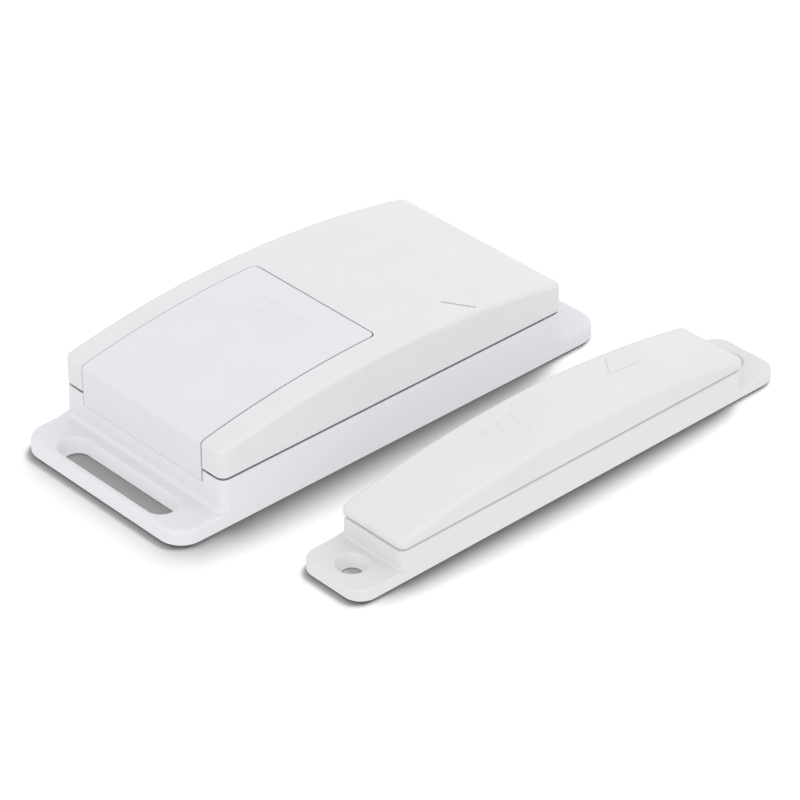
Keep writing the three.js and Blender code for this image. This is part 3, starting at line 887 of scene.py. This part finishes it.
def board_parts():
    """Solder joints, chip leads, resistors and the crystal's skirt."""
    joints = [solder(x, REED_Y) for x in REED_OUT]
    joints += [solder(x, -9.3) for x in (-32.6, -1.2)]
    joints += [solder(12.9, -5.4, 0.6), solder(19.1, -5.4, 0.6), solder(27.0, 12.4),
               solder(11.4, 12.4), solder(25.8, -9.6, 0.5), solder(28.2, -9.6, 0.5)]
    x, y = TAMPER
    joints += [solder(x + sx * 3.5, y + sy * 2.2, 0.55, 0.5) for sx in SIGNS for sy in SIGNS]
    piece(join(*joints), "solder_joints", [], "contact_steel")
    pins = chip_leads(4.5, 11.5, -1, 6, 0.8) + chip_leads(17.5, 22.5, 0.5, 5.5, 0.65)
    piece(join(*pins), "chip_leads", [], "contact_steel")
    bodies, caps = [], []
    for spot in ((2.4, -6.0, 0), (2.4, -3.6, 0), (14.3, 1.5, 1), (14.3, 4.5, 1), (25.6, 3.0, 1),
                 (6.5, 9.2, 0), (9.8, 9.2, 0), (20.0, 8.4, 0), (23.2, 8.4, 0), (9.5, -9.8, 0),
                 (13.2, -9.8, 0), (-14.5, -10.0, 0), (-18.0, -13.5, 0), (-22.5, -11.0, 1),
                 (21.5, -9.9, 0), (31.8, -4.6, 1), (31.8, 6.0, 1)):
        body, ends = resistor(*spot)
        bodies.append(body)
        caps += ends
    piece(soften(join(*bodies), 0.06), "chip_resistors", [], "black_plastic")
    piece(soften(join(*caps), 0.07), "resistor_ends", [], "contact_steel")
    skirt = plate(16, -5.4, 11.4, 5.2, 2.5, BOARD_TOP - 0.05, BOARD_TOP + 0.35)
    piece(soften(skirt, 0.12), "crystal_skirt", [], "contact_steel")


def tamper_plate():
    """Metal cap of the tamper switch, with four rivets and four legs."""
    x, y = TAMPER
    top = plate(x, y, 5.7, 5.7, 0.5, 9.6, 9.85)
    cut(top, cylinder(x, y, 1.85, 9, 11, 40))
    rivets, legs = [], []
    for sx in SIGNS:
        for sy in SIGNS:
            rivet = [(0, 9.8), (0.42, 9.8), (0.4, 9.95), (0.25, 10.05), (0, 10.08)]
            rivets.append(turned(rivet, (x + sx * 2.1, y + sy * 2.1, 0), 20))
            path = [(2.8, 7.0), (3.3, 7.0), (3.5, 6.8), (3.5, 5.9)]
            legs.append(tube([(x + sx * away, y + sy * 2.2, z) for away, z in path], 0.2, 8))
    soften(top, 0.08)
    piece(join(top, *rivets, *legs), "tamper_switch_plate", [], "contact_steel")


battery()
spring_and_antenna()
capacitor()
board_parts()
tamper_plate()
for i, (x, y) in enumerate(COVER_SCREWS, 1):
    piece(screw(x, y, 2.0, 0.3, 2.75, 1.3, 9.5), f"housing_screw_{i}", [f"cover_screw_{i}"],
          "screw_steel", sharp=30)
for i, (x, y) in enumerate(BOARD_SCREWS, 1):
    piece(screw(x, y, 6.1, 7.5, 2.2, 1.0, 1.9), f"circuit_screw_{i}", [f"board_screw_{i}"],
          "screw_steel", sharp=30)


# ---- the magnet's pad ---------------------------------------------------------------------
def foam_strip():
    """Closed-cell pad: a crowned slab whose sides pull in between its corners."""
    (x0, x1), (z0, z1), half = PAD_X, PAD_Z, 2.6
    middle, length = (x0 + x1) / 2, x1 - x0
    bm = bmesh.new()
    rings = []
    for inset, z in ((0.5, z0), (0.12, z0 + 0.1), (0.0, z0 + 0.4), (0.06, z0 + 0.62),
                     (0.35, z1 - 0.08), (0.9, z1 - 0.02)):
        ring = []
        for p, n in outline(length / 2, half, 0.5, spread(7, -7, 14)[1:-1], 4):
            along = (p.x + length / 2) / length
            waist = 0.1 * math.sin(math.pi * along) if abs(n.y) > 0.9 else 0.05
            q = p - n * (inset + waist)
            ring.append((q.x + middle, q.y, z))
        rings.append(ring)
    made = add_rings(bm, rings)
    ladder(bm, made[0])
    ladder(bm, made[-1])
    bmesh.ops.recalc_face_normals(bm, faces=bm.faces)
    obj = place_on_door(new_object(bm))
    mod = obj.modifiers.new("round", "SUBSURF")
    mod.levels = mod.render_levels = 1
    finish_piece(obj, "magnet_cushion", "magnet_unit", ["magnet_pad"], foam, 80)


foam_strip()

# ---- CAD nodes that stay, with eased edges and their own finish ----------------------------
KEPT = {
    "negative_contact_plate": ("contact_steel", 0.08),
    "positive_contact_plate": ("contact_steel", 0.08),
    "circuit_board": ("board_laminate", 0.05),
    "reed_switch_glass": ("reed_glass", 0.1),
    "reed_blade_front": ("reed_metal", 0.04),
    "reed_blade_rear": ("reed_metal", 0.04),
    "tamper_switch_body": ("black_plastic", 0.15),
    "tamper_plunger": ("natural_plastic", 0.12),
    "microcontroller_chip": ("black_plastic", 0.1),
    "radio_chip": ("black_plastic", 0.1),
    "crystal_can": ("contact_steel", 0.35),
    "bar_magnet": ("ferrite", 0.3),
}
for name, (finish, ease) in KEPT.items():
    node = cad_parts[name]
    node.data.materials.clear()
    node.data.materials.append(FINISH[finish])
    merge = node.modifiers.new("weld", "WELD")
    merge.merge_threshold = 1e-6
    bevel = node.modifiers.new("ease", "BEVEL")
    bevel.width = ease * MM
    bevel.segments = 3
    bevel.limit_method = "ANGLE"
    bevel.angle_limit = math.radians(40)
    bevel.use_clamp_overlap = True
    node.data.shade_smooth()
    smooth = node.modifiers.new("normals", "WEIGHTED_NORMAL")
    smooth.keep_sharp = True

# ---- stage, lights and camera -------------------------------------------------------------
scene = bpy.context.scene
scene.view_settings.view_transform = "Standard"

floor_mat = shader("floor", Base_Color=(0.1, 0.1, 0.1, 1), Roughness=0.9)
bpy.ops.mesh.primitive_plane_add(size=6)
floor = bpy.context.object
floor.name = "floor"
floor.data.materials.append(floor_mat)
# It takes the shadows but throws no light back on the object.
floor.visible_diffuse = floor.visible_glossy = floor.visible_shadow = False
floor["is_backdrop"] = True

world = bpy.data.worlds.new("studio")
scene.world = world
world.use_nodes = True
background = world.node_tree.nodes["Background"]
background.inputs["Color"].default_value = (1, 1, 1, 1)
background.inputs["Strength"].default_value = AMBIENT

floor_only = bpy.data.collections.new("floor_only")
floor_only.objects.link(floor)
subject = bpy.data.collections.new("subject")
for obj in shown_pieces():
    subject.objects.link(obj)


def add_light(name, data, direction, distance, receivers):
    """Light shining from a direction on its receivers alone."""
    light = bpy.data.objects.new(name, data)
    toward = Vector(direction).normalized()
    light.location = Vector((0.005, -0.015, 0)) + toward * distance
    light.rotation_euler = toward.to_track_quat("Z", "Y").to_euler()
    scene.collection.objects.link(light)
    light.light_linking.receiver_collection = receivers


def area_light(name, direction, size, share):
    """Soft light on the object; share is the light it lays on a facing surface."""
    data = bpy.data.lights.new(name, "AREA")
    data.shape = "RECTANGLE"
    data.size, data.size_y = size
    data.energy = share * math.pi**2 * LIGHT_DISTANCE**2
    add_light(name, data, direction, LIGHT_DISTANCE, subject)


def sun_light(name, direction, angle, share):
    """Sun on the floor, which makes the shadow; angle is its width in degrees."""
    data = bpy.data.lights.new(name, "SUN")
    data.angle = math.radians(angle)
    data.energy = share * math.pi
    add_light(name, data, direction, 0, floor_only)


sun_light("floor_key", (0.80, 0.25, 1.0), 28, 6.15)
sun_light("floor_low", (0.70, 0.30, 0.70), 44, 2.05)
sun_light("floor_high", (0.25, 0.60, 1.60), 30, 2.15)
area_light("top", (0.05, 0.0, 1.0), (1.0, 1.0), 0.035)
area_light("left", (-0.84, 0.0, 0.30), (0.9, 0.9), 0.13)
area_light("right", (0.4, -0.76, 0.45), (0.9, 0.9), 0.14)
area_light("front", (-0.62, -0.66, 0.42), (1.4, 0.9), 0.11)
area_light("rear", (0.75, 0.50, 0.38), (0.9, 0.9), 0.10)

camera = bpy.data.objects.new("camera", bpy.data.cameras.new("camera"))
scene.collection.objects.link(camera)
# Its axes, and its place in metres.
forward = Vector((0.56737801, 0.61386577, -0.54886338))
right = Vector((0.734191965, -0.678941827, -0.000391290451))
up = right.cross(forward)
eye = Vector((-0.326913556, -0.373823523, 0.323840033))
camera.matrix_world = Matrix((
    (right.x, up.x, -forward.x, eye.x),
    (right.y, up.y, -forward.y, eye.y),
    (right.z, up.z, -forward.z, eye.z),
    (0, 0, 0, 1),
))
camera.data.sensor_width = 36
camera.data.lens = 159.878925
camera.data.clip_start = 0.01
scene.camera = camera
